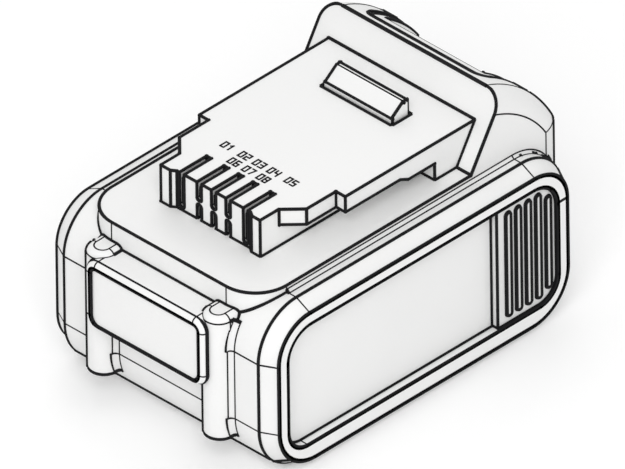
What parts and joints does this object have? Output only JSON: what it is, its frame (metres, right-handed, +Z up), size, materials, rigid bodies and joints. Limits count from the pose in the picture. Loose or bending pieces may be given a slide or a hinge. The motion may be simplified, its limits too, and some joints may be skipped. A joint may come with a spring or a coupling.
{
  "type": "power tool battery pack",
  "caption": "Slide-on battery pack for power tools: rounded case with side grips, rails, slotted terminal tower, spring latch with a thumb release and a charge gauge.",
  "frame": {"origin": "middle of the pack's box on the surface it stands on", "axes": "+Z up, +Y from the terminal end towards the release button, +X to the right seen from the terminal end"},
  "size_m": [0.076, 0.1152, 0.0688],
  "materials": {
    "shell": "fine moulded grain",
    "grip": "soft matte",
    "latch": "smooth moulded",
    "frame": "moulded",
    "steel": "plain",
    "nickel": "plain strip",
    "contact": "plain",
    "board": "lacquered",
    "sheet": "sheet",
    "lens": "clear moulded",
    "cell": "shrink sleeve"
  },
  "bodies": {
    "pack": {"lower_case": "shell", "upper_case": "shell", "front_plate": "shell", "side_panel_left": "shell", "side_panel_right": "shell", "grip_pad_left": "grip", "grip_pad_right": "grip", "latch_spring_left": "steel", "latch_spring_right": "steel", "spring_plate": "frame", "terminal_block": "frame", "circuit_board": "board", "cell_frame_left": "frame", "cell_frame_right": "frame", "insulator_left": "sheet", "insulator_right": "sheet", "gauge_board": "board", "gauge_lens": "lens", "case_screws": "steel", "board_screws": "steel", "contact_1": "contact", "contact_2": "contact", "contact_3": "contact", "contact_4": "contact", "contact_5": "contact", "contact_6": "contact", "contact_7": "contact", "contact_8": "contact", "cell_1": "cell", "cell_2": "cell", "cell_3": "cell", "cell_4": "cell", "cell_5": "cell", "cell_6": "cell", "cell_7": "cell", "cell_8": "cell", "cell_9": "cell", "cell_10": "cell", "bus_strip_1": "nickel", "bus_strip_2": "nickel", "bus_strip_3": "nickel", "bus_strip_4": "nickel", "bus_strip_5": "nickel", "bus_strip_6": "nickel"},
    "release": {"release_button": "shell", "latch_slider": "latch"},
    "gauge": {"gauge_button": "grip"}
  },
  "joints": [
    {"name": "release_press", "type": "slide", "parent": "pack", "child": "release", "axis": [0, 0, -1], "range_m": [0, 0.0046], "stiffness_N_per_m": 1200, "springref_m": -0.004, "deforming": ["latch_spring_left", "latch_spring_right"]},
    {"name": "gauge_press", "type": "slide", "parent": "pack", "child": "gauge", "axis": [0, -1, 0], "range_m": [0, 0.0008], "stiffness_N_per_m": 1500, "springref_m": -0.0005}
  ]
}
